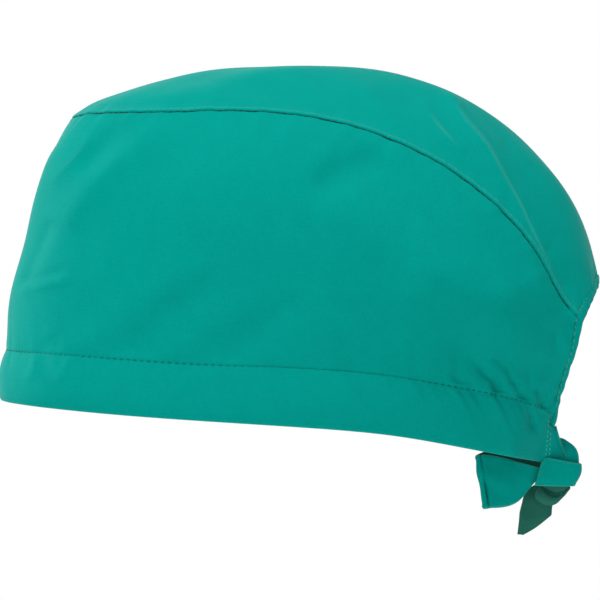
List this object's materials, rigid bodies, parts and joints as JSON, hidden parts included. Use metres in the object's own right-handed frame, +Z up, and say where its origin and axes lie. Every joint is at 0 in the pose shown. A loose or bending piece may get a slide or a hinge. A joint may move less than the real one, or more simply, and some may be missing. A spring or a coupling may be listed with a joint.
{
  "type": "tie-back scrub cap",
  "caption": "Worn cloth cap with a tongue-shaped crown, a wraparound side panel, a wide hem band, an open back and ties knotted at the nape.",
  "frame": {"origin": "middle of the head opening, at the height of the rim over the ears", "axes": "+Z up, +Y towards the nape, -Y towards the forehead, +X towards the wearer's left"},
  "size_m": [0.1698, 0.2399, 0.1879],
  "materials": {
    "cloth": "plain-woven polyester and cotton, dyed green",
    "cloth_reverse": "duller reverse side of the same cloth"
  },
  "bodies": {
    "root": {"side_panel": "cloth", "crown_panel": "cloth", "crown_hem": "cloth", "back_hem_left": "cloth", "back_hem_right": "cloth", "hem_band": "cloth", "tie_left": "cloth", "tie_right": "cloth", "knot_wrap": "cloth", "knot_core": "cloth", "bow_loop": "cloth", "tail_lower": "cloth_reverse", "knot_fold": "cloth_reverse"}
  },
  "joints": []
}
